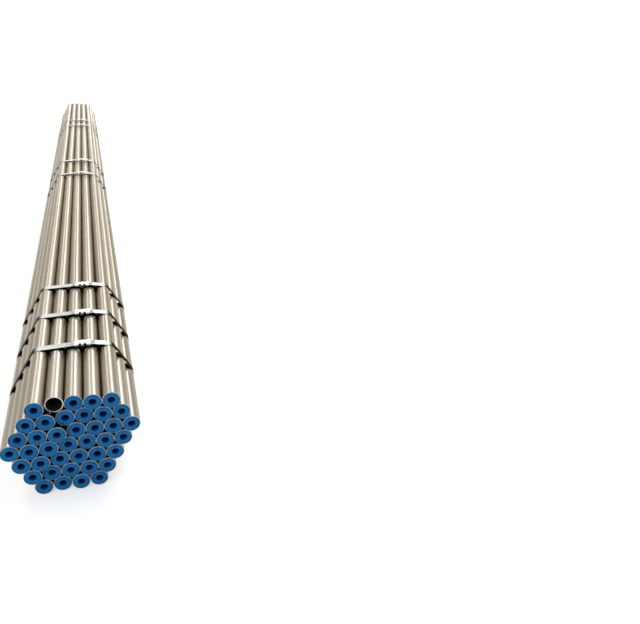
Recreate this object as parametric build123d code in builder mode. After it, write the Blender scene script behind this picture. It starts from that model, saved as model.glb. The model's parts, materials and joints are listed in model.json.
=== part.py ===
# A strapped bundle of round steel pipes with plastic end caps, lying on its bands.
# The pipes run along Y, with the capped near ends towards -Y and +Z up.
# The origin is on the ground, below the middle of the bundle. Lengths are in millimetres.
from build123d import *
import math
import os

os.makedirs("parts", exist_ok=True)

# Pipes
pipe_od = 42.4
pipe_wall = 2.6
pipe_length = 6000.0
pipe_gap = 0.3  # daylight between two neighbours

# Stack, counted from the top row down
row_counts = (5, 6, 7, 7, 6, 5, 4)
widest_rows = (3, 2)  # the rows whose first and whose last pipe stand furthest out
open_pipe = (0, 1)  # row and column of the pipe that has no caps

# Uneven ends
left_group = (1, 2, 3, 3, 2, 1, 0)  # pipes of each row that stand proud, on the left
end_step = 8.0  # how far the ends stand proud or back
end_wobble = 2.0
fade_width = 171.0  # the set-back fades away over this width to the right of the left group

# Plastic end caps
rim_showing = 1.1  # steel left bare round the flange
flange_thickness = 2.2
flange_sides = 16
plug_length = 24.0
plug_play = 0.2
plug_sides = 6  # the ribs that grip the bore
recess_diameter = 18.0
recess_depth = 22.0
recess_sides = 8

# Steel bands
band_width = 25.0
band_thickness = 0.8
band_play = 0.3  # between a band and the pipes that it goes round
lap_tail = 9.0  # length of the free end that shows beside a seal
near_bands = (267.0, 479.0, 709.0)  # from the near end
middle_bands = (-549.0, -167.0)  # from the middle
far_bands = (1662.0, 1356.0)  # from the far end
near_lift = 5.0  # how far the seal holds a band off the top row
middle_lift = 10.0
far_lift = 8.0

# Crimped seals
seal_length = 40.0
seal_sheet = 1.2
seal_play = 0.2  # beside the band
seal_headroom = 2.6  # above its two layers
seal_footroom = 0.3  # below them
seal_flap = 9.0  # how far the folded edges reach under the band
seal_fold = 0.9  # bevel on the folded edges
seal_x = 34.0  # middle of the seals, to the right of the bundle's middle
seat_bend = 15.0  # how sharply a band bends down beside its seal
notch_spacing = 12.8
notch_mouth = 6.0
notch_floor = 3.0
notch_depth = 4.6

# Places that follow from the sizes
pipe_radius = pipe_od / 2
bore_radius = pipe_radius - pipe_wall
pitch = pipe_od + pipe_gap
row_rise = pitch * math.sin(math.radians(60))
last_row = len(row_counts) - 1
widest_left_row, widest_right_row = widest_rows
bottom_axis = pipe_radius + band_play + band_thickness


def row_start(row):
    """First pipe of a row, in pitches: each row steps half a pipe away from the widest one."""
    return (abs(row - widest_left_row) - widest_left_row) / 2


span_right = row_start(widest_right_row) + row_counts[widest_right_row] - 1
middle_x = (row_start(widest_left_row) + span_right) / 2 * pitch


def pipe_centre(row, column):
    """Centre of a pipe in the XZ section."""
    x = (row_start(row) + column) * pitch - middle_x
    z = bottom_axis + (last_row - row) * row_rise
    return x, z


def set_back(row, column):
    """How far a pipe is pushed along +Y: the left group stands proud, its neighbours stand back."""
    wobble = end_wobble * math.sin(5 * row + 3 * column)
    beyond = column - left_group[row]
    if beyond < 0:
        return wobble - end_step
    return wobble + end_step * (1 - beyond * pitch / fade_width) * (1 - row / last_row)


stack = [(row, column) for row, count in enumerate(row_counts) for column in range(count)]
set_backs = [set_back(row, column) for row, column in stack]
middle_set_back = (min(set_backs) + max(set_backs)) / 2


def near_end(row, column):
    """Y of a pipe's near end."""
    return set_back(row, column) - middle_set_back - pipe_length / 2


def end_plane(row, column, at_far_end=False):
    """Plane on a pipe's end face, facing out of the pipe."""
    x, z = pipe_centre(row, column)
    if at_far_end:
        return Plane((x, near_end(row, column) + pipe_length, z), x_dir=(-1, 0, 0), z_dir=(0, 1, 0))
    return Plane((x, near_end(row, column), z), x_dir=(1, 0, 0), z_dir=(0, -1, 0))


def save(part, name):
    part.label = name
    export_step(part, f"parts/{name}.step")


def make_pipes(places):
    """Square-cut tubes, one for each place."""
    with BuildPart() as pipes:
        with BuildSketch(*[end_plane(*place) for place in places]):
            Circle(pipe_radius)
            Circle(bore_radius, mode=Mode.SUBTRACT)
        extrude(amount=-pipe_length)
    return pipes.part


def make_caps(planes):
    """Push-in caps: a flange on the end face, a ribbed plug in the bore and a recess in the middle."""
    with BuildPart() as caps:
        with BuildSketch(*planes):
            RegularPolygon(pipe_radius - rim_showing, flange_sides)
        extrude(amount=flange_thickness)
        with BuildSketch(*planes):
            RegularPolygon(bore_radius - plug_play, plug_sides)
        extrude(amount=-plug_length)
        with BuildSketch(*[plane.offset(flange_thickness) for plane in planes]):
            RegularPolygon(recess_diameter / 2, recess_sides)
        extrude(amount=-recess_depth, mode=Mode.SUBTRACT)
    return caps.part


corner_pipes = (
    (0, 0),
    (0, row_counts[0] - 1),
    (widest_right_row, row_counts[widest_right_row] - 1),
    (last_row, row_counts[-1] - 1),
    (last_row, 0),
    (widest_left_row, 0),
)
corners = [pipe_centre(*place) for place in corner_pipes]
seal_width = band_width + 2 * seal_play + 2 * seal_sheet
seal_height = 2 * band_thickness + seal_footroom + seal_headroom + 2 * seal_sheet
lap_length = seal_length + 2 * lap_tail
crown = pipe_centre(0, 0)[1] + pipe_radius + band_play  # underside of a band on the top row


def band_outline(lift, growth):
    """Closed outline of a tight band: the hull of the corner pipes and of the two bends by the seal."""
    seat_height = crown + lift - seat_bend
    seat_ends = [(seal_x - lap_length / 2, seat_height), (seal_x + lap_length / 2, seat_height)]
    with BuildSketch() as outline:
        with Locations(*corners):
            Circle(pipe_radius + band_play + growth)
        with Locations(*seat_ends):
            Circle(seat_bend + growth)
        make_hull()
    return outline.sketch


def seal_floor(lift):
    """Height of a seal's underside."""
    return crown + lift - seal_footroom - seal_sheet


def crimp_cuts(y, lift):
    """The crimping tool's cuts: two notches in each long edge, through the seal and the band inside it."""
    with BuildSketch(Plane((seal_x, y, seal_floor(lift)))) as cuts:
        for side in (-1, 1):
            for place in (-notch_spacing / 2, notch_spacing / 2):
                edge = side * seal_width / 2
                floor = edge - side * notch_depth
                with BuildLine():
                    Polyline(
                        (place - notch_mouth / 2, edge),
                        (place - notch_floor / 2, floor),
                        (place + notch_floor / 2, floor),
                        (place + notch_mouth / 2, edge),
                        close=True,
                    )
                make_face()
    return cuts.sketch


def make_band(y, lift):
    """A band pulled round the stack, its end lapped over its start under the seal."""
    with BuildPart() as band:
        with BuildSketch(Plane.XZ.offset(-y)):
            add(band_outline(lift, band_thickness))
            add(band_outline(lift, 0), mode=Mode.SUBTRACT)
            with Locations((seal_x, crown + lift)):
                Rectangle(lap_length, 2 * band_thickness, align=(Align.CENTER, Align.MIN))
        extrude(amount=band_width / 2, both=True)
        extrude(crimp_cuts(y, lift), amount=seal_height, mode=Mode.SUBTRACT)
    return band.part


def make_seal(y, lift):
    """A sheet sleeve folded round the lapped band and crimped to it."""
    height = seal_floor(lift) + seal_height / 2
    section = Plane((seal_x, y, height), x_dir=(0, 1, 0), z_dir=(1, 0, 0))
    with BuildPart() as seal:
        with BuildSketch(section) as profile:
            Rectangle(seal_width, seal_height)
            chamfer(profile.vertices(), length=seal_fold)
            Rectangle(seal_width - 2 * seal_sheet, seal_height - 2 * seal_sheet, mode=Mode.SUBTRACT)
            with Locations((0, -seal_height / 2)):
                slit = seal_width - 2 * seal_sheet - 2 * seal_flap
                Rectangle(slit, seal_height, mode=Mode.SUBTRACT)
        extrude(amount=seal_length / 2, both=True)
        extrude(crimp_cuts(y, lift), amount=seal_height, mode=Mode.SUBTRACT)
    return seal.part


for row, count in enumerate(row_counts):
    capped = [(row, column) for column in range(count) if (row, column) != open_pipe]
    save(make_pipes(capped), f"pipes_row_{row + 1}")
    save(make_caps([end_plane(*place) for place in capped]), f"near_caps_row_{row + 1}")
    save(make_caps([end_plane(*place, at_far_end=True) for place in capped]), f"far_caps_row_{row + 1}")

save(make_pipes([open_pipe]), "open_pipe")

half = pipe_length / 2
bands = [(place - half, near_lift) for place in near_bands]
bands += [(place, middle_lift) for place in middle_bands]
bands += [(half - place, far_lift) for place in far_bands]
for number, (y, lift) in enumerate(bands, start=1):
    save(make_band(y, lift), f"band_{number}")
    save(make_seal(y, lift), f"seal_{number}")
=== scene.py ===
# Dresses the strapped bundle: drawn steel pipes, moulded caps, zinc bands with lapped ends, crimped seals.
import json
import math
import random
import bpy
from mathutils import Matrix, Vector


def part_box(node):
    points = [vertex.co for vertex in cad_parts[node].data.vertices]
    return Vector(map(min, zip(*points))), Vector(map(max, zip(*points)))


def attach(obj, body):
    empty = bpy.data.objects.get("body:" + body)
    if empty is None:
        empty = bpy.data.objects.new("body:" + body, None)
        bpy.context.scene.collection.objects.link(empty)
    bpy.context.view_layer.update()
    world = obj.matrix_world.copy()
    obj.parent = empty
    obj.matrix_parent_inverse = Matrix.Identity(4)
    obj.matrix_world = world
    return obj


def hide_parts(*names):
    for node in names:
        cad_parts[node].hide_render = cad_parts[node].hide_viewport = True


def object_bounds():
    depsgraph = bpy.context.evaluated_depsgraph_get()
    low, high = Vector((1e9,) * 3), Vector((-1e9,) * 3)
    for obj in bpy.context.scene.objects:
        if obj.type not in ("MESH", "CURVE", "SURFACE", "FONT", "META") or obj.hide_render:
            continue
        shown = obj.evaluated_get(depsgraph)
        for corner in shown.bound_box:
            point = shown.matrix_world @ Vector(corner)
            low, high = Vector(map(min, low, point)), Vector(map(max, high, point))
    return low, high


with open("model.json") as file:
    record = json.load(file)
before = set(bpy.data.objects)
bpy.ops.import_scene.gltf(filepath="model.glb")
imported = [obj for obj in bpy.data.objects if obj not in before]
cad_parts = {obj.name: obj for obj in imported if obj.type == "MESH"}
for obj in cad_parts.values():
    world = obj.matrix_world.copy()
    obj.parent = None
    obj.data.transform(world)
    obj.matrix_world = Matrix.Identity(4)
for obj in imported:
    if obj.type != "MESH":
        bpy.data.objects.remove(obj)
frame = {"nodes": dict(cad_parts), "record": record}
cadLow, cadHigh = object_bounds()
random.seed(12)
mm = 0.001
same = 0.01 * mm  # places nearer than this count as one
weld = 0.002 * mm  # points nearer than this are merged
square = 0.9  # a face looks along an axis when this much of its normal does
rowCount = 7


# Modelling helpers, used by every piece
def deselectAll():
    bpy.ops.object.select_all(action="DESELECT")


def pickPiece(piece):  # the only one selected, and active
    deselectAll()
    piece.select_set(True)
    bpy.context.view_layer.objects.active = piece


def editMode(piece, kind="FACE"):  # into edit mode with nothing selected
    pickPiece(piece)
    bpy.ops.object.mode_set(mode="EDIT")
    bpy.ops.mesh.select_mode(type=kind)
    bpy.ops.mesh.select_all(action="DESELECT")


def objectMode():
    bpy.ops.object.mode_set(mode="OBJECT")


def selectFaces(piece, test):  # picks faces by their place or normal
    bpy.ops.mesh.select_mode(type="FACE")
    bpy.ops.mesh.select_all(action="DESELECT")
    objectMode()
    for face in piece.data.polygons:
        face.select = test(face)
    bpy.ops.object.mode_set(mode="EDIT")


def selectEdges(piece, test):  # the test gets the two ends of an edge
    bpy.ops.mesh.select_mode(type="EDGE")
    bpy.ops.mesh.select_all(action="DESELECT")
    objectMode()
    points = piece.data.vertices
    for edge in piece.data.edges:
        edge.select = test(points[edge.vertices[0]].co, points[edge.vertices[1]].co)
    bpy.ops.object.mode_set(mode="EDIT")


def tidyNormals():
    bpy.ops.mesh.select_all(action="SELECT")
    bpy.ops.mesh.remove_doubles(threshold=weld)
    bpy.ops.mesh.normals_make_consistent(inside=False)


def applyPlace():
    bpy.ops.object.transform_apply(location=True, rotation=True, scale=True)


def applyModifier(piece, kind, **settings):
    pickPiece(piece)
    modifier = piece.modifiers.new(kind.lower(), kind)
    for name, value in settings.items():
        setattr(modifier, name, value)
    bpy.ops.object.modifier_apply(modifier=modifier.name)


def bevelSharp(piece, width, segments, degrees):  # where two faces turn by more than this
    applyModifier(piece, "BEVEL", width=width, segments=segments, limit_method="ANGLE",
                  angle_limit=math.radians(degrees))


def smoothBelow(piece, degrees):
    pickPiece(piece)
    bpy.ops.object.shade_smooth_by_angle(angle=math.radians(degrees))


def giveMaterial(piece, material, test=None):  # to the whole piece, or to the faces that pass the test
    if material.name not in piece.data.materials:
        piece.data.materials.append(material)
    slot = piece.data.materials.find(material.name)
    for face in piece.data.polygons:
        if test is None or test(face):
            face.material_index = slot


def markPoints(piece, name, valueAt):  # gives every point a value, from its place
    marks = piece.data.attributes.new(name, "FLOAT", "POINT")
    for point, mark in zip(piece.data.vertices, marks.data):
        mark.value = valueAt(point.co)


def fromAxis(point):  # distance from the Y axis
    return math.hypot(point.x, point.z)


def copiesOf(master, name, places):  # one mesh of all the copies, each with a seed of its own
    copies = []
    for place in places:
        piece = master.copy()
        piece.data = master.data.copy()
        bpy.context.collection.objects.link(piece)
        piece.data.transform(place)
        seed = piece.data.attributes.new("seed", "FLOAT", "POINT")
        seed.data.foreach_set("value", [random.random()] * len(piece.data.vertices))
        copies.append(piece)
    deselectAll()
    for piece in copies:
        piece.select_set(True)
    bpy.context.view_layer.objects.active = copies[0]
    if len(copies) > 1:
        bpy.ops.object.join()
    joined = bpy.context.view_layer.objects.active
    joined.name = name
    joined.data.name = name
    return joined


def finishPiece(piece, node):
    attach(piece, "root")
    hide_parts(node)


def finishSingle(master, name, node):  # a piece that is modelled in its own place
    piece = copiesOf(master, name, [Matrix.Identity(4)])
    bpy.data.objects.remove(master)
    finishPiece(piece, node)


# Shader helpers
def addNode(tree, kind, x, y, **settings):
    node = tree.nodes.new(kind)
    node.location = (x, y)
    for name, value in settings.items():
        setattr(node, name, value)
    return node


def wire(tree, source, node, socket):  # a link from a socket, or a plain value
    if isinstance(source, bpy.types.NodeSocket):
        tree.links.new(source, node.inputs[socket])
    else:
        node.inputs[socket].default_value = source


def mathNode(tree, x, y, operation, first, second=0.5, clamp=False):
    node = addNode(tree, "ShaderNodeMath", x, y, operation=operation, use_clamp=clamp)
    wire(tree, first, node, 0)
    wire(tree, second, node, 1)
    return node.outputs[0]


def multiplyAdd(tree, x, y, value, factor, added):
    total = mathNode(tree, x, y, "MULTIPLY_ADD", value, factor)
    wire(tree, added, total.node, 2)
    return total


def rangeNode(tree, x, y, value, given, wanted, kind="SMOOTHSTEP"):  # both ranges are (lowest, highest)
    node = addNode(tree, "ShaderNodeMapRange", x, y, interpolation_type=kind)
    wire(tree, value, node, "Value")
    node.inputs["From Min"].default_value, node.inputs["From Max"].default_value = given
    node.inputs["To Min"].default_value, node.inputs["To Max"].default_value = wanted
    return node.outputs[0]


def mixColor(tree, x, y, factor, first, second, blend="MIX"):
    node = addNode(tree, "ShaderNodeMix", x, y, data_type="RGBA", blend_type=blend)
    wire(tree, factor, node, 0)
    wire(tree, first, node, 6)
    wire(tree, second, node, 7)
    return node.outputs[2]


def darken(tree, x, y, tone, shade):
    return mixColor(tree, x, y, 1.0, tone, shade, "MULTIPLY")


def rampNode(tree, x, y, factor, stops):  # stops are (place, grey or colour)
    node = addNode(tree, "ShaderNodeValToRGB", x, y)
    while len(node.color_ramp.elements) < len(stops):
        node.color_ramp.elements.new(0.5)
    for element, (place, shade) in zip(node.color_ramp.elements, stops):
        element.position = place
        element.color = shade if isinstance(shade, tuple) else (shade, shade, shade, 1)
    wire(tree, factor, node, 0)
    return node.outputs[0]


def noiseNode(tree, x, y, point, scale, detail, roughness=0.5):
    node = addNode(tree, "ShaderNodeTexNoise", x, y)
    wire(tree, point, node, "Vector")
    node.inputs["Scale"].default_value = scale
    node.inputs["Detail"].default_value = detail
    node.inputs["Roughness"].default_value = roughness
    return node.outputs["Fac"]


def attributeNode(tree, x, y, name):
    return addNode(tree, "ShaderNodeAttribute", x, y, attribute_name=name).outputs["Fac"]


def addBump(tree, principled, height, strength, distance):
    bump = addNode(tree, "ShaderNodeBump", 600, -400)
    bump.inputs["Strength"].default_value = strength
    bump.inputs["Distance"].default_value = distance
    wire(tree, height, bump, "Height")
    wire(tree, bump.outputs[0], principled, "Normal")


def newGroup(name, inputs, outputs):
    group = bpy.data.node_groups.new(name, "ShaderNodeTree")
    for label, kind, value in inputs:
        socket = group.interface.new_socket(label, in_out="INPUT", socket_type=kind)
        if value is not None:
            socket.default_value = value
    for label, kind in outputs:
        group.interface.new_socket(label, in_out="OUTPUT", socket_type=kind)
    start = addNode(group, "NodeGroupInput", -1100, 0)
    end = addNode(group, "NodeGroupOutput", 900, 0)
    return group, start.outputs, end


def placeGroup(tree, group, x, y, **values):
    node = addNode(tree, "ShaderNodeGroup", x, y, node_tree=group)
    for name, value in values.items():
        wire(tree, value, node, name)
    return node.outputs


def newMaterial(name, **shader):  # a Principled material whose plain values sit on its own sockets
    material = bpy.data.materials.new(name)
    material.use_nodes = True
    tree = material.node_tree
    principled = tree.nodes["Principled BSDF"]
    principled.location = (900, 0)
    tree.nodes["Material Output"].location = (1200, 0)
    for socket, value in shader.items():
        principled.inputs[socket.replace("_", " ")].default_value = value
    return material, tree, principled


def objectPoint(tree):  # Object coordinates and the seed of each copy
    point = addNode(tree, "ShaderNodeTexCoord", -1500, 200).outputs["Object"]
    return point, attributeNode(tree, -1500, -100, "seed")


def patternPoint(group, given, perMetre, seedStep):  # the point at a pattern's scale, moved by its seed
    shift = mathNode(group, -700, -100, "MULTIPLY", given["Seed"], seedStep)
    moved = addNode(group, "ShaderNodeVectorMath", -500, 0, operation="MULTIPLY_ADD")
    wire(group, given["Point"], moved, 0)
    wire(group, perMetre, moved, 1)
    wire(group, shift, moved, 2)
    return moved.outputs[0]


def makeDrawnLines():  # long marks that run along Y, from drawing and rolling; sizes in mm
    group, given, end = newGroup(
        "drawnLines",
        [("Point", "NodeSocketVector", None), ("Seed", "NodeSocketFloat", 0.0),
         ("Spacing", "NodeSocketFloat", 2.0), ("Length", "NodeSocketFloat", 400.0)],
        [("Lines", "NodeSocketFloat"), ("Broad", "NodeSocketFloat")],
    )
    across = mathNode(group, -900, 200, "DIVIDE", 1 / mm, given["Spacing"])
    along = mathNode(group, -900, 0, "DIVIDE", 1 / mm, given["Length"])
    perMetre = addNode(group, "ShaderNodeCombineXYZ", -700, 100)
    for axis, source in (("X", across), ("Y", along), ("Z", across)):
        wire(group, source, perMetre, axis)
    point = patternPoint(group, given, perMetre.outputs[0], seedStep=53.0)
    fine = noiseNode(group, -200, 200, point, scale=1.0, detail=3.0, roughness=0.6)
    broad = noiseNode(group, -200, -200, point, scale=0.22, detail=2.0)
    wire(group, rampNode(group, 200, 200, fine, [(0.32, 0.0), (0.68, 1.0)]), end, "Lines")
    wire(group, rampNode(group, 200, -200, broad, [(0.35, 0.0), (0.65, 1.0)]), end, "Broad")
    return group


def makeMottle():  # soft patches with a fine grain in them; the size in mm
    group, given, end = newGroup(
        "mottle",
        [("Point", "NodeSocketVector", None), ("Seed", "NodeSocketFloat", 0.0),
         ("Size", "NodeSocketFloat", 10.0)],
        [("Patches", "NodeSocketFloat"), ("Grain", "NodeSocketFloat")],
    )
    perMetre = mathNode(group, -900, 100, "DIVIDE", 1 / mm, given["Size"])
    point = patternPoint(group, given, perMetre, seedStep=31.0)
    patches = noiseNode(group, -200, 150, point, scale=1.0, detail=4.0)
    grain = noiseNode(group, -200, -150, point, scale=14.0, detail=2.0)
    wire(group, rampNode(group, 200, 150, patches, [(0.35, 0.0), (0.65, 1.0)]), end, "Patches")
    wire(group, grain, end, "Grain")
    return group


drawnLines = makeDrawnLines()
mottle = makeMottle()

# The stack, read from the frame
openLow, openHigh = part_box("open_pipe")
pipeRadius = (openHigh.x - openLow.x) / 2
pipeLength = openHigh.y - openLow.y
boreRadius = frame["record"]["mounts"][0]["dims"]["r_mm"] * mm


def pipesIn(node):  # axis and near end of each pipe in a node, from the left
    low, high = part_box(node)
    steps = round((high.x - low.x) / (2 * pipeRadius)) - 1
    pitch = (high.x - low.x - 2 * pipeRadius) / max(steps, 1)
    nearEnds = {}
    for vertex in frame["nodes"][node].data.vertices:
        step = min(int((vertex.co.x - low.x) / pitch), steps) if steps else 0
        nearEnds[step] = min(nearEnds.get(step, math.inf), vertex.co.y)
    height = (low.z + high.z) / 2
    return [Vector((low.x + pipeRadius + step * pitch, nearEnds[step], height)) for step in sorted(nearEnds)]


rows = {row: pipesIn(f"pipes_row_{row}") for row in range(1, rowCount + 1)}
openPipe = pipesIn("open_pipe")
allPipes = [axis for row in rows.values() for axis in row] + openPipe
bandNumbers = [int(node.split("_")[1]) for node in sorted(frame["nodes"]) if node.startswith("band_")]
print("stack read:", len(allPipes), "pipes")

# Pipes
pipe = {
    "sides": 64,
    "chamfer": 0.45 * mm,  # where the saw burr was taken off
    "chamferSteps": 2,
    "endSlant": 0.2,  # part of a normal along Y, more than this on the sawn ends and their chamfers
    "smooth": 18,  # degrees, under the chamfer's turns, so that the long walls keep true normals
    "warm": (0.4, 0.358, 0.292, 1),
    "cool": (0.353, 0.335, 0.294, 1),
    "tan": (0.385, 0.326, 0.25, 1),  # thin oxide film
    "tanShare": 0.45,
    "cloudSize": 45.0,  # in mm, as the two sizes of the drawn lines
    "lineSpacing": 1.6,
    "lineLength": 900.0,
    "edgeTint": (0.64, 0.605, 0.53, 1),  # of the glancing gloss
    "roughness": (0.22, 0.34),
    "sawn": ((0.42, 0.43, 0.415, 1), (0.57, 0.58, 0.56, 1)),
    "scale": ((0.05, 0.047, 0.036, 1), (0.085, 0.08, 0.062, 1)),  # dark skin of the inside wall
    "pocketShade": (0.02, 0.016, 0.012, 1),  # painted shade where the pipes close in on each other
    "pocketReach": 2.2,  # radii from a pipe's axis to those of its neighbours, at most
    "pocketTurn": 1.06,  # radians from a point in a pocket to the neighbour on each side, at most
    "pocketEdge": 0.12,  # radians from where two pipes touch to where the painted shade begins
    # painted shade under and beside each band
    "bandShade": (0.05, 0.042, 0.033, 1),
    "bandShadeReach": (0.4 * mm, 3.0 * mm),  # past a band's edge, where the painted shade begins to fade and where it ends
    "bandShadeUneven": 0.8 * mm,
}


def makeBandLine():  # 1 on the pipes under a band and just beside it, where the band's shade is painted
    group, given, end = newGroup(
        "bandLine", [("Point", "NodeSocketVector", None), ("Uneven", "NodeSocketFloat", 0.0)],
        [("Line", "NodeSocketFloat")],
    )
    parts = addNode(group, "ShaderNodeSeparateXYZ", -900, 0)
    wire(group, given["Point"], parts, 0)
    nearest = None
    for number in bandNumbers:
        low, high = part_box(f"band_{number}")
        away = mathNode(group, -700, -200 * number, "SUBTRACT", parts.outputs["Y"], (low.y + high.y) / 2)
        away = mathNode(group, -500, -200 * number, "ABSOLUTE", away)
        nearest = away if nearest is None else mathNode(group, -300, -200 * number, "MINIMUM", nearest, away)
    edge = (high.y - low.y) / 2  # the same on every band
    fadeFrom, fadeTo = pipe["bandShadeReach"]
    shifted = multiplyAdd(group, 0, 0, given["Uneven"], pipe["bandShadeUneven"], nearest)
    wire(group, rangeNode(group, 300, 0, shifted, (edge + fadeFrom, edge + fadeTo), (1.0, 0.0)), end, "Line")
    return group


def makePipeSteel():
    material, tree, principled = newMaterial("pipeSteel", Metallic=1.0)
    point, seed = objectPoint(tree)
    lines = placeGroup(tree, drawnLines, -1200, 200, Point=point, Seed=seed,
                       Spacing=pipe["lineSpacing"], Length=pipe["lineLength"])
    clouds = placeGroup(tree, mottle, -1200, -200, Point=point, Seed=seed, Size=pipe["cloudSize"])
    tone = mixColor(tree, -700, 300, lines["Broad"], pipe["cool"], pipe["warm"])
    film = mathNode(tree, -900, 0, "MULTIPLY", clouds["Patches"], pipe["tanShare"])
    tone = mixColor(tree, -500, 250, film, tone, pipe["tan"])
    tone = darken(tree, -250, 200, tone, rampNode(tree, -700, 0, lines["Lines"], [(0.0, 0.86), (0.5, 1.0)]))
    tone = darken(tree, 0, 150, tone, rampNode(tree, -700, -250, seed, [(0.0, 0.88), (1.0, 1.06)]))
    # painted shade, in the colour and the glancing gloss, inside the pockets between the pipes
    tucked = attributeNode(tree, 0, -100, "tucked")
    tone = mixColor(tree, 300, 150, tucked, tone, pipe["pocketShade"])
    # painted shade on the pipes under and beside each band, in the colour and the glancing gloss
    bandShade = placeGroup(tree, makeBandLine(), 300, -100, Point=point, Uneven=lines["Broad"])["Line"]
    wire(tree, mixColor(tree, 500, 150, bandShade, tone, pipe["bandShade"]), principled, "Base Color")
    gloss = mixColor(tree, 500, -150, tucked, pipe["edgeTint"], pipe["pocketShade"])
    wire(tree, mixColor(tree, 700, -150, bandShade, gloss, pipe["bandShade"]), principled, "Specular Tint")
    low, high = pipe["roughness"]
    rough = rampNode(tree, -250, -200, lines["Broad"], [(0.0, low), (1.0, high)])
    wire(tree, rough, principled, "Roughness")
    height = multiplyAdd(tree, 0, -450, lines["Lines"], 0.35, lines["Broad"])
    addBump(tree, principled, height, strength=0.2, distance=0.03 * mm)
    return material


def makeCutSteel():  # the sawn ends
    material, tree, principled = newMaterial("cutSteel", Metallic=1.0, Roughness=0.38)
    point, seed = objectPoint(tree)
    marks = placeGroup(tree, mottle, -1200, 0, Point=point, Seed=seed, Size=1.5)
    wire(tree, mixColor(tree, 200, 100, marks["Patches"], *pipe["sawn"]), principled, "Base Color")
    return material


def makeBoreSteel():  # the inside wall, darker from scale
    material, tree, principled = newMaterial("boreSteel", Metallic=0.7, Roughness=0.5)
    point, seed = objectPoint(tree)
    lines = placeGroup(tree, drawnLines, -1200, 0, Point=point, Seed=seed, Spacing=2.5, Length=300.0)
    wire(tree, mixColor(tree, 200, 100, lines["Broad"], *pipe["scale"]), principled, "Base Color")
    return material


def modelPipe():
    deselectAll()
    bpy.ops.mesh.primitive_cylinder_add(
        vertices=pipe["sides"], radius=pipeRadius, depth=pipeLength, end_fill_type="NGON",
        location=(0, pipeLength / 2, 0), rotation=(math.pi / 2, 0, 0),
    )
    applyPlace()
    master = bpy.context.object
    middle = (pipeRadius + boreRadius) / 2  # half way through the wall
    slant = pipe["endSlant"]
    editMode(master)
    selectFaces(master, lambda face: abs(face.normal.y) > square)
    bpy.ops.mesh.inset(thickness=pipeRadius - boreRadius)
    bpy.ops.mesh.delete(type="ONLY_FACE")
    selectEdges(master, lambda a, b: fromAxis(a) < middle and fromAxis(b) < middle)
    bpy.ops.mesh.bridge_edge_loops()
    selectEdges(master, lambda a, b: abs(a.y - b.y) < same and abs(fromAxis(a) - fromAxis(b)) < same)
    bpy.ops.mesh.bevel(offset=pipe["chamfer"], segments=pipe["chamferSteps"], affect="EDGES")
    tidyNormals()
    objectMode()
    giveMaterial(master, pipeSteel)
    giveMaterial(master, cutSteel, lambda face: abs(face.normal.y) > slant)
    giveMaterial(master, boreSteel,
                 lambda face: abs(face.normal.y) < slant and fromAxis(face.center) < middle)
    smoothBelow(master, pipe["smooth"])
    return master


def markTucked(piece):  # 1 inside the closed pockets of the stack, a little past where two pipes touch; the mask for painted shade there
    reach = pipe["pocketReach"] * pipeRadius
    limit = pipe["pocketTurn"]
    around = {}
    for axis in allPipes:
        others = [Vector((other.x - axis.x, other.z - axis.z)) for other in allPipes if other is not axis]
        around[(axis.x, axis.z)] = [math.atan2(other.x, other.y) for other in others if other.length < reach]

    def tuckedAt(point):
        x, z = min(around, key=lambda place: (place[0] - point.x) ** 2 + (place[1] - point.z) ** 2)
        angle = math.atan2(point.x - x, point.z - z)
        turns = [(angle - other + math.pi) % math.tau - math.pi for other in around[(x, z)]]
        closed = any(0 <= turn < limit for turn in turns) and any(-limit < turn <= 0 for turn in turns)
        nearest = min(abs(turn) for turn in turns)
        return 1.0 if closed and nearest > pipe["pocketEdge"] else 0.0

    markPoints(piece, "tucked", tuckedAt)


def layPipes(name, node, pipes):
    piece = copiesOf(pipeMaster, name, [Matrix.Translation(pipeStart) for pipeStart in pipes])
    markTucked(piece)
    finishPiece(piece, node)


pipeSteel = makePipeSteel()
cutSteel = makeCutSteel()
boreSteel = makeBoreSteel()
pipeMaster = modelPipe()
for row, pipes in rows.items():
    layPipes(f"steel_pipes_row_{row}", f"pipes_row_{row}", pipes)
layPipes("steel_pipe_open", "open_pipe", openPipe)
bpy.data.objects.remove(pipeMaster)
print("pipes laid")

# Caps
cap = {
    "sides": 48,
    "rimShowing": 0.7 * mm,  # bare steel left round the flange
    "flange": 1.9 * mm,  # height of the rim bead
    "play": 0.2 * mm,  # plug in the bore
    "plug": 23 * mm,
    "draft": 0.3 * mm,  # the plug is this much narrower at its tip
    "tip": 1.2 * mm,
    # inset and height in mm of each step: bead, channel, hub and funnel, and then the recess
    "faceSteps": ((1.5, 0.0), (0.6, -0.9), (2.1, 0.0), (0.8, 1.15), (5.2, 0.05), (1.1, -0.6)),
    "recessSteps": ((0.5, -1.4), (0.1, -2.0), (0.1, -1.5), (0.3, -16.0)),
    "soften": 0.28 * mm,
    "softenSteps": 2,
    "smooth": 50,  # degrees
    "deep": (0.005, 0.13, 0.39, 1),
    "light": (0.011, 0.19, 0.48, 1),
    "teal": (0.014, 0.215, 0.45, 1),
    "tealShare": 0.5,  # in the cap that has the most of it
    "patchSize": 7.0,  # in mm
    "inside": (0.17, 0.3, 0.43, 1),  # painted shade that dulls the tone down in the recess
    "darkAt": 5.4 * mm,  # depth at which the recess is darkest
    "darkPower": 4,  # how late it gets dark on the way down
    "lip": 0.2 * mm,  # outside the recess, and dark with it
    "channelDark": 0.35,  # share of that painted shade in the channel, at most
    "rimHighlight": (0.2, 0.44, 0.62, 1),  # painted highlight along the outer edge of the flange
    "rimHighlightWidth": 0.34 * mm,
}


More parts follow.
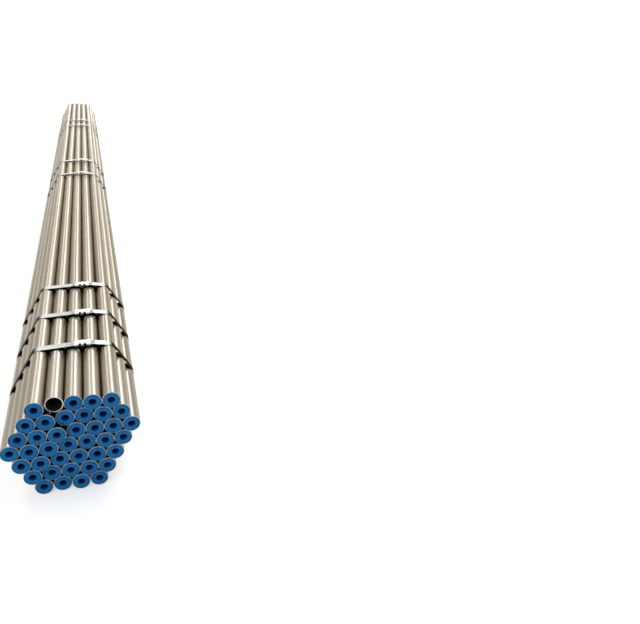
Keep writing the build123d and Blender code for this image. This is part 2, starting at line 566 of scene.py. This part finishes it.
def makeCapPlastic():
    material, tree, principled = newMaterial("capPlastic", Specular_IOR_Level=0.18)
    point, seed = objectPoint(tree)
    patches = placeGroup(tree, mottle, -1200, 100, Point=point, Seed=seed, Size=cap["patchSize"])
    tone = mixColor(tree, -600, 200, patches["Patches"], cap["deep"], cap["light"])
    own = mathNode(tree, -800, -100, "MULTIPLY", seed, cap["tealShare"])
    tone = mixColor(tree, -300, 150, own, tone, cap["teal"])
    # painted highlight round the flange's outer edge
    rimHighlight = attributeNode(tree, -300, 400, "rimHighlight")
    tone = mixColor(tree, -150, 300, rimHighlight, tone, cap["rimHighlight"])
    # painted shade deep in the recess and in the channel
    recess = attributeNode(tree, -300, -500, "recess")
    shade = mixColor(tree, -100, -500, recess, (1, 1, 1, 1), cap["inside"])
    wire(tree, darken(tree, 0, 150, tone, shade), principled, "Base Color")
    rough = rampNode(tree, -300, -200, patches["Grain"], [(0.3, 0.36), (0.7, 0.52)])
    wire(tree, rough, principled, "Roughness")
    addBump(tree, principled, patches["Grain"], strength=0.25, distance=0.05 * mm)
    return material


def modelCap():  # its pipe's end is at Y 0, and it faces -Y
    deselectAll()
    radius = pipeRadius - cap["rimShowing"]
    bpy.ops.mesh.primitive_cylinder_add(
        vertices=cap["sides"], radius=radius, depth=cap["flange"], end_fill_type="NGON",
        location=(0, -cap["flange"] / 2, 0), rotation=(math.pi / 2, 0, 0),
    )
    applyPlace()
    master = bpy.context.object
    editMode(master)
    selectFaces(master, lambda face: face.normal.y < -square)
    for inset, raised in cap["faceSteps"] + cap["recessSteps"]:
        bpy.ops.mesh.inset(thickness=inset * mm, depth=raised * mm)
    selectFaces(master, lambda face: face.normal.y > square)
    bpy.ops.mesh.inset(thickness=radius - boreRadius + cap["play"])
    bpy.ops.mesh.inset(thickness=cap["draft"], depth=cap["plug"])
    bpy.ops.mesh.inset(thickness=cap["tip"], depth=cap["tip"])
    selectEdges(master, lambda a, b: abs(a.y - b.y) < same)
    bpy.ops.mesh.bevel(offset=cap["soften"], segments=cap["softenSteps"], affect="EDGES")
    tidyNormals()
    objectMode()
    giveMaterial(master, capPlastic)
    # where the painted highlight on the flange's edge goes
    markPoints(master, "rimHighlight", lambda point: float(fromAxis(point) > radius - cap["rimHighlightWidth"]))
    markRecess(master, radius)
    smoothBelow(master, cap["smooth"])
    return master


def markRecess(master, radius):  # painted shade: 1 deep in the recess, and a little in the channel inside the bead
    insets = [inset * mm for inset, raised in cap["faceSteps"]]
    channelEdge = radius - insets[0] - insets[1] / 2  # half way down from the bead
    mouth = radius - sum(insets) + cap["lip"]
    bottom = -cap["flange"] - sum(raised for inset, raised in cap["faceSteps"] + cap["recessSteps"]) * mm

    def shadeAt(point):
        away = fromAxis(point)
        sunk = max(0.0, point.y + cap["flange"])
        if away > channelEdge or point.y > bottom + same:
            return 0.0
        if away < mouth:
            return min(1.0, (sunk / cap["darkAt"]) ** cap["darkPower"])
        return min(cap["channelDark"], sunk / mm)

    markPoints(master, "recess", shadeAt)


def capPlaces(pipes, atFarEnd):
    places = []
    for pipeStart in pipes:
        turned = Matrix.Rotation(random.uniform(0, math.tau), 4, "Y")
        if atFarEnd:
            end = pipeStart + Vector((0, pipeLength, 0))
            places.append(Matrix.Translation(end) @ Matrix.Rotation(math.pi, 4, "Z") @ turned)
        else:
            places.append(Matrix.Translation(pipeStart) @ turned)
    return places


capPlastic = makeCapPlastic()
capMaster = modelCap()
for row, pipes in rows.items():
    for end in ("near", "far"):
        piece = copiesOf(capMaster, f"blue_caps_{end}_row_{row}", capPlaces(pipes, end == "far"))
        finishPiece(piece, f"{end}_caps_row_{row}")
bpy.data.objects.remove(capMaster)
print("caps pushed in")

# The crimping tool cuts two notches in each long edge, through the seal and the band inside it
crimp = {
    "spacing": 12.8 * mm,
    "mouth": 7.4 * mm,
    "floor": 4.4 * mm,
    "depth": 6.0 * mm,
    "height": 12 * mm,  # of the cutter, more than the seal's
    "notchShade": ((0.012, 0.011, 0.01, 1), (0.03, 0.028, 0.025, 1)),  # painted shade: near-black steel inside the notches, with some oil
}


def makeShadedNotchSteel():
    material, tree, principled = newMaterial("shadedNotchSteel", Metallic=0.3, Specular_IOR_Level=0.2)
    point, seed = objectPoint(tree)
    marks = placeGroup(tree, mottle, -1200, 0, Point=point, Seed=seed, Size=2.0)
    wire(tree, mixColor(tree, 200, 100, marks["Patches"], *crimp["notchShade"]), principled, "Base Color")
    wire(tree, rampNode(tree, 200, -200, marks["Grain"], [(0.3, 0.5), (0.7, 0.7)]), principled, "Roughness")
    return material


def cutNotches(piece, node):  # node is the seal's
    low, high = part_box(node)
    for y, side in ((low.y, -1), (high.y, 1)):
        for step in (-0.5, 0.5):
            cutNotch(piece, (low.x + high.x) / 2 + step * crimp["spacing"], y, (low.z + high.z) / 2, side)


def cutNotch(piece, x, y, z, side):
    widest = 2 * crimp["mouth"] - crimp["floor"]  # outside the edge, where the cutter starts
    size = (widest, 2 * crimp["depth"], crimp["height"])
    deselectAll()
    bpy.ops.mesh.primitive_cube_add(size=1, location=(x, y, z), scale=size)
    cutter = bpy.context.object
    applyPlace()
    giveMaterial(cutter, shadedNotchSteel)
    editMode(cutter)
    selectFaces(cutter, lambda face: face.normal.y * side < -square)
    bpy.ops.transform.resize(value=(crimp["floor"] / widest, 1, 1))
    objectMode()
    applyModifier(piece, "BOOLEAN", operation="DIFFERENCE", object=cutter, solver="EXACT",
                  material_mode="TRANSFER")  # so that the walls of the notch take the near-black steel, painted shade
    bpy.data.objects.remove(cutter)


# Bands
band = {
    "play": 0.3 * mm,  # off the pipes
    "seatBend": 15 * mm,  # bends beside the seal
    "lap": 58 * mm,
    "lapGap": 0.05 * mm,  # between the two layers under the seal
    "cut": 7 * mm,  # length of the pieces that a straight run is made in
    "turnStep": 0.16,  # radians in each piece of a bend
    "cutsAcross": 3,  # lengthwise cuts, so that the crinkles can bend it
    "edge": 0.12 * mm,
    "sharp": 60,  # degrees, and no edge below this is bevelled
    "smooth": 30,  # degrees
    "snug": 0.15 * mm,  # drawn in by this, so that the crinkles stay inside the sizes
    "crinkle": 0.28 * mm,
    "crinkleSize": 22 * mm,
    "zinc": ((0.26, 0.261, 0.23, 1), (0.42, 0.42, 0.375, 1)),
    "roughness": (0.26, 0.42),
    "patchSize": 9.0,  # in mm, as the two sizes of its lines
    "lineSpacing": 1.1,
    "lineLength": 120.0,
    # painted shade on the flanks and underside of a band
    "flankShade": (0.55, 0.52, 0.47, 1),
    "undersideShade": (0.3, 0.27, 0.23, 1),
    "flankGloss": 0.12,  # what the painted shade on the flanks leaves of the glancing gloss
    "slitEdge": (0.1, 0.09, 0.075, 1),  # the slit edges have no zinc, and are darkened further as painted shade
}


def addFlankShade(tree, principled, tone):  # painted shade: a band is darker wherever it doesn't face up, and darkest underneath
    turned = addNode(tree, "ShaderNodeSeparateXYZ", -1000, -400)
    wire(tree, addNode(tree, "ShaderNodeTexCoord", -1200, -400).outputs["Normal"], turned, 0)
    upwards = multiplyAdd(tree, -850, -400, turned.outputs["Z"], 0.5, 0.5)  # 0 down to 1 up
    stops = [(0.3, band["undersideShade"]), (0.93, band["flankShade"]), (0.985, 1.0)]
    flank = rampNode(tree, -700, -400, upwards, stops)
    slit = mathNode(tree, -850, -700, "ABSOLUTE", turned.outputs["Y"])
    slit = rampNode(tree, -700, -700, slit, [(0.5, 1.0), (0.9, band["slitEdge"])])
    gloss = rampNode(tree, -400, -800, upwards, [(0.9, band["flankGloss"]), (0.98, 1.0)])
    wire(tree, gloss, principled, "Specular Tint")
    return darken(tree, 100, 200, tone, darken(tree, -400, -500, flank, slit))


def makeZinc(name, look, sideShaded):
    material, tree, principled = newMaterial(name, Metallic=1.0)
    point, seed = objectPoint(tree)
    parts = addNode(tree, "ShaderNodeSeparateXYZ", -1400, 100)
    wire(tree, point, parts, 0)
    around = mathNode(tree, -1300, -50, "ADD", parts.outputs["X"], parts.outputs["Z"])
    turned = addNode(tree, "ShaderNodeCombineXYZ", -1200, 100)  # the marks run round with the band
    for axis, source in (("X", parts.outputs["Y"]), ("Y", around), ("Z", parts.outputs["Y"])):
        wire(tree, source, turned, axis)
    lines = placeGroup(tree, drawnLines, -1000, 300, Point=turned.outputs[0], Seed=seed,
                       Spacing=band["lineSpacing"], Length=band["lineLength"])
    patches = placeGroup(tree, mottle, -1000, -100, Point=point, Seed=seed, Size=band["patchSize"])
    tone = mixColor(tree, -500, 300, patches["Patches"], *look["zinc"])
    tone = darken(tree, -200, 200, tone, rampNode(tree, -500, 0, lines["Lines"], [(0.0, 0.7), (0.6, 1.0)]))
    if sideShaded:
        tone = addFlankShade(tree, principled, tone)
    wire(tree, tone, principled, "Base Color")
    low, high = look["roughness"]
    rough = rampNode(tree, -200, -100, patches["Patches"], [(0.0, low), (1.0, high)])
    wire(tree, rough, principled, "Roughness")
    addBump(tree, principled, lines["Lines"], strength=0.3, distance=0.05 * mm)
    return material


def bandBends(sealX, seat, thickness):  # X, Z and inner radius of each bend, clockwise from the seal's right
    corners = [rows[1][-1], max(allPipes, key=lambda axis: axis.x), rows[rowCount][-1], rows[rowCount][0],
               min(allPipes, key=lambda axis: axis.x), rows[1][0]]
    cornerBend = pipeRadius + band["play"] - band["snug"]
    outerBend = band["seatBend"] + thickness + band["lapGap"]  # the upper layer comes down there
    height = seat - band["seatBend"]
    right = (sealX + band["lap"] / 2, height, outerBend)
    left = (sealX - band["lap"] / 2, height, band["seatBend"])
    return [right] + [(corner.x, corner.z, cornerBend) for corner in corners] + [left]


def runAngle(first, second):  # the way a straight run faces, clockwise from straight up
    dx, dz = second[0] - first[0], second[1] - first[1]
    return math.atan2(-dz, dx) + math.asin((first[2] - second[2]) / math.hypot(dx, dz))


def runAngles(bends):  # the same for all the runs, from the upper layer of the lap round to the lower one
    angles = [0.0]
    for first, second in zip(bends, bends[1:]):
        angle = runAngle(first, second)
        while angle < angles[-1]:
            angle += math.tau
        angles.append(angle)
    return angles + [math.tau]


def facing(angle):  # the way out from a run that faces at this angle
    return Vector((math.sin(angle), 0, math.cos(angle)))


def startStrip(place, width, thickness):  # the strip's cut end, a face across X
    deselectAll()
    bpy.ops.mesh.primitive_plane_add(size=1, rotation=(0, math.pi / 2, 0))
    piece = bpy.context.object
    applyPlace()
    piece.scale = (1, width, thickness)
    piece.location = place
    applyPlace()
    editMode(piece, "EDGE")
    selectEdges(piece, lambda a, b: abs(a.z - b.z) < same)
    bpy.ops.mesh.subdivide(number_cuts=band["cutsAcross"])
    selectFaces(piece, lambda face: True)
    return piece


def goStraight(run):  # takes the selected end of the strip on in short pieces
    cuts = max(1, round(run.length / band["cut"]))
    for cut in range(cuts):
        bpy.ops.mesh.extrude_region_move(TRANSFORM_OT_translate={"value": run / cuts})


def goRound(turn, centre):  # takes it round a bend
    steps = max(2, round(turn / band["turnStep"]))
    bpy.ops.mesh.spin(steps=steps, angle=turn, center=centre, axis=(0, -1, 0))


def modelBand(node, sealNode):
    low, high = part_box(node)
    sealLow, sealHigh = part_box(sealNode)
    y = (low.y + high.y) / 2
    thickness = rows[rowCount][0].z - pipeRadius - band["play"]  # as it is under the bottom row
    seat = high.z - 2 * thickness  # underside of the two layers in the seal
    bends = bandBends((sealLow.x + sealHigh.x) / 2, seat, thickness)
    angles = runAngles(bends)
    start = (bends[-1][0], y, seat + thickness * 1.5 + band["lapGap"])  # in the upper layer
    piece = startStrip(start, high.y - low.y, thickness)
    goStraight(Vector((band["lap"], 0, 0)))
    for place, (x, z, radius) in enumerate(bends):
        goRound(angles[place + 1] - angles[place], (x, y, z))
        if place + 1 < len(bends):
            nextX, nextZ, nextRadius = bends[place + 1]
            out = facing(angles[place + 1])
            here = Vector((x, 0, z)) + out * radius
            goStraight(Vector((nextX, 0, nextZ)) + out * nextRadius - here)
    goStraight(Vector((band["lap"], 0, 0)))
    tidyNormals()
    objectMode()
    bevelSharp(piece, width=band["edge"], segments=1, degrees=band["sharp"])
    for direction in ("X", "Z"):
        applyModifier(piece, "DISPLACE", texture=crinkles, texture_coords="LOCAL", direction=direction,
                      strength=band["crinkle"], mid_level=0.5)
    giveMaterial(piece, bandSteel)
    cutNotches(piece, sealNode)
    smoothBelow(piece, band["smooth"])
    return piece


shadedNotchSteel = makeShadedNotchSteel()
bandSteel = makeZinc("bandSteel", band, sideShaded=True)
crinkles = bpy.data.textures.new("crinkles", "CLOUDS")
crinkles.noise_scale = band["crinkleSize"]
for number in bandNumbers:
    master = modelBand(f"band_{number}", f"seal_{number}")
    finishSingle(master, f"zinc_band_{number}", f"band_{number}")
print("bands pulled round the stack:", len(bandNumbers))

# Seals
seal = {
    "sheet": 1.2 * mm,
    "flap": 9.4 * mm,  # how far the folded edges reach under the band
    "fold": 2.3 * mm,
    "foldSteps": 4,
    "edge": 0.12 * mm,
    "sharp": 50,  # degrees, as for the bands
    "smooth": 40,
    "zinc": ((0.72, 0.725, 0.715, 1), (0.84, 0.845, 0.835, 1)),
    "roughness": (0.3, 0.42),
}


def modelSeal(node):
    low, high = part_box(node)
    middle, size = (low + high) / 2, high - low
    deselectAll()
    bpy.ops.mesh.primitive_cube_add(size=1, location=middle, scale=size)
    piece = bpy.context.object
    applyPlace()
    editMode(piece)
    selectFaces(piece, lambda face: abs(face.normal.x) > square)
    bpy.ops.mesh.delete(type="ONLY_FACE")
    slit = size.y / 2 - seal["sheet"] - seal["flap"]
    for side in (-1, 1):
        selectFaces(piece, lambda face: face.normal.z < -square)
        bpy.ops.mesh.bisect(plane_co=(0, middle.y + side * slit, 0), plane_no=(0, 1, 0))
    selectFaces(piece, lambda face: face.normal.z < -square and abs(face.center.y - middle.y) < slit / 2)
    bpy.ops.mesh.delete(type="FACE")
    outer = size.y / 2 - same
    selectEdges(piece, lambda a, b: abs(a.x - b.x) > same and abs(a.y - middle.y) > outer)
    bpy.ops.mesh.bevel(offset=seal["fold"], segments=seal["foldSteps"], affect="EDGES")
    tidyNormals()
    objectMode()
    applyModifier(piece, "SOLIDIFY", thickness=seal["sheet"], offset=-1)
    giveMaterial(piece, sealSteel)
    cutNotches(piece, node)
    bevelSharp(piece, width=seal["edge"], segments=2, degrees=seal["sharp"])
    smoothBelow(piece, seal["smooth"])
    return piece


sealSteel = makeZinc("sealSteel", seal, sideShaded=False)
for number in bandNumbers:
    master = modelSeal(f"seal_{number}")
    finishSingle(master, f"crimped_seal_{number}", f"seal_{number}")
print("seals crimped")

# Floor, light and camera
studio = {
    "floorSize": 120,
    "floorDrop": 0.5 * mm,  # clear of the bands
    "floorTone": 0.8,
    "floorLift": (0.52, 0.95),  # white added to what is seen of it, beside the bundle and past its shadow
    "liftFrom": (0.16, 0.9),  # metres from the bundle's middle line
    "fill": 0.34,  # the world, as diffuse surfaces see it
    # of each strip light: X, width, glow, and where it starts and ends along Y
    "strips": ((1.0, 0.9, 4.2, -3, 57), (-0.9, 0.5, 3.5, -3, 57), (0.3, 0.8, 4.4, 12, 57)),
    "stripHeight": 2.4,
    "stripAim": 0.2,  # height above the middle line that the strips point at
    "lampColor": (0.95, 0.98, 1.06),
    "keyPlace": (-1.6, -5.6, 3.4),
    "keySize": (2.0, 1.5),
    "keyGlow": 4.0,
    "cameraPlace": (0.0959, -4.3801, 1.0751),
    "cameraTurn": (66.37, -3.6, -18.93),  # degrees
    "lens": 35.68,  # mm
    "sensor": 36,
    "clip": (0.05, 200),
}


def seenDirectly(tree, x, y):  # 1 for what the camera and reflections see, 0 for what only lights things
    path = addNode(tree, "ShaderNodeLightPath", x, y)
    seen = mathNode(tree, x + 200, y, "ADD", path.outputs["Is Camera Ray"], path.outputs["Is Glossy Ray"])
    return mathNode(tree, x + 350, y, "ADD", seen, path.outputs["Is Transmission Ray"], clamp=True)


def makeFloor():
    deselectAll()
    bpy.ops.mesh.primitive_plane_add(size=studio["floorSize"], location=(0, 0, -studio["floorDrop"]))
    floor = bpy.context.object
    floor.name = "floor"
    material, tree, principled = newMaterial("paleFloor", Roughness=0.9, Specular_IOR_Level=0.0)
    tone = studio["floorTone"]
    principled.inputs["Base Color"].default_value = (tone, tone, tone, 1)
    place = addNode(tree, "ShaderNodeSeparateXYZ", -400, -600)
    wire(tree, addNode(tree, "ShaderNodeTexCoord", -600, -600).outputs["Object"], place, 0)
    pastEnd = mathNode(tree, -200, -700, "ABSOLUTE", place.outputs["Y"])
    pastEnd = mathNode(tree, -50, -700, "SUBTRACT", pastEnd, pipeLength / 2)
    pastEnd = mathNode(tree, 100, -700, "MAXIMUM", pastEnd, 0.0)
    corner = addNode(tree, "ShaderNodeCombineXYZ", 250, -600)
    wire(tree, place.outputs["X"], corner, "X")
    wire(tree, pastEnd, corner, "Y")
    away = addNode(tree, "ShaderNodeVectorMath", 400, -600, operation="LENGTH")
    wire(tree, corner.outputs[0], away, 0)
    white = rangeNode(tree, 550, -600, away.outputs["Value"], studio["liftFrom"], studio["floorLift"])
    lift = mathNode(tree, 700, -400, "MULTIPLY", seenDirectly(tree, 200, -400), white)
    principled.inputs["Emission Color"].default_value = (1, 1, 1, 1)
    wire(tree, lift, principled, "Emission Strength")
    floor.data.materials.append(material)


def lightWorld():
    world = bpy.data.worlds.new("studioWorld")
    world.use_nodes = True
    bpy.context.scene.world = world
    tree = world.node_tree
    background = tree.nodes["Background"]
    background.inputs["Color"].default_value = (1, 1, 1, 1)
    seen = seenDirectly(tree, -800, 0)
    strength = rangeNode(tree, -300, 0, seen, (0.0, 1.0), (studio["fill"], 1.0), "LINEAR")
    wire(tree, strength, background, "Strength")


def addLamp(name, place, target, length, width, glow):  # its length lies level; a glow of 1 looks white
    lamp = bpy.data.lights.new(name, "AREA")
    lamp.color = studio["lampColor"]
    lamp.shape = "RECTANGLE"
    lamp.size, lamp.size_y = length, width
    lamp.energy = glow * math.pi * length * width
    holder = bpy.data.objects.new(name, lamp)
    bpy.context.collection.objects.link(holder)
    holder.location = place
    holder.rotation_euler = (Vector(target) - Vector(place)).to_track_quat("-Z", "Y").to_euler()


def addLamps():
    for x, width, glow, start, end in studio["strips"]:
        middle = (start + end) / 2
        place, target = (x, middle, studio["stripHeight"]), (0, middle, studio["stripAim"])
        addLamp("strip", place, target, end - start, width, glow)
    addLamp("key", studio["keyPlace"], cadLow, *studio["keySize"], studio["keyGlow"])


def addCamera():
    camera = bpy.data.cameras.new("photoCamera")
    camera.sensor_width = studio["sensor"]
    camera.lens = studio["lens"]
    camera.clip_start, camera.clip_end = studio["clip"]
    holder = bpy.data.objects.new("photoCamera", camera)
    bpy.context.collection.objects.link(holder)
    holder.location = studio["cameraPlace"]
    holder.rotation_euler = [math.radians(angle) for angle in studio["cameraTurn"]]
    bpy.context.scene.camera = holder


makeFloor()
lightWorld()
addLamps()
addCamera()
bpy.context.scene.view_settings.view_transform = "Standard"
print("studio set")
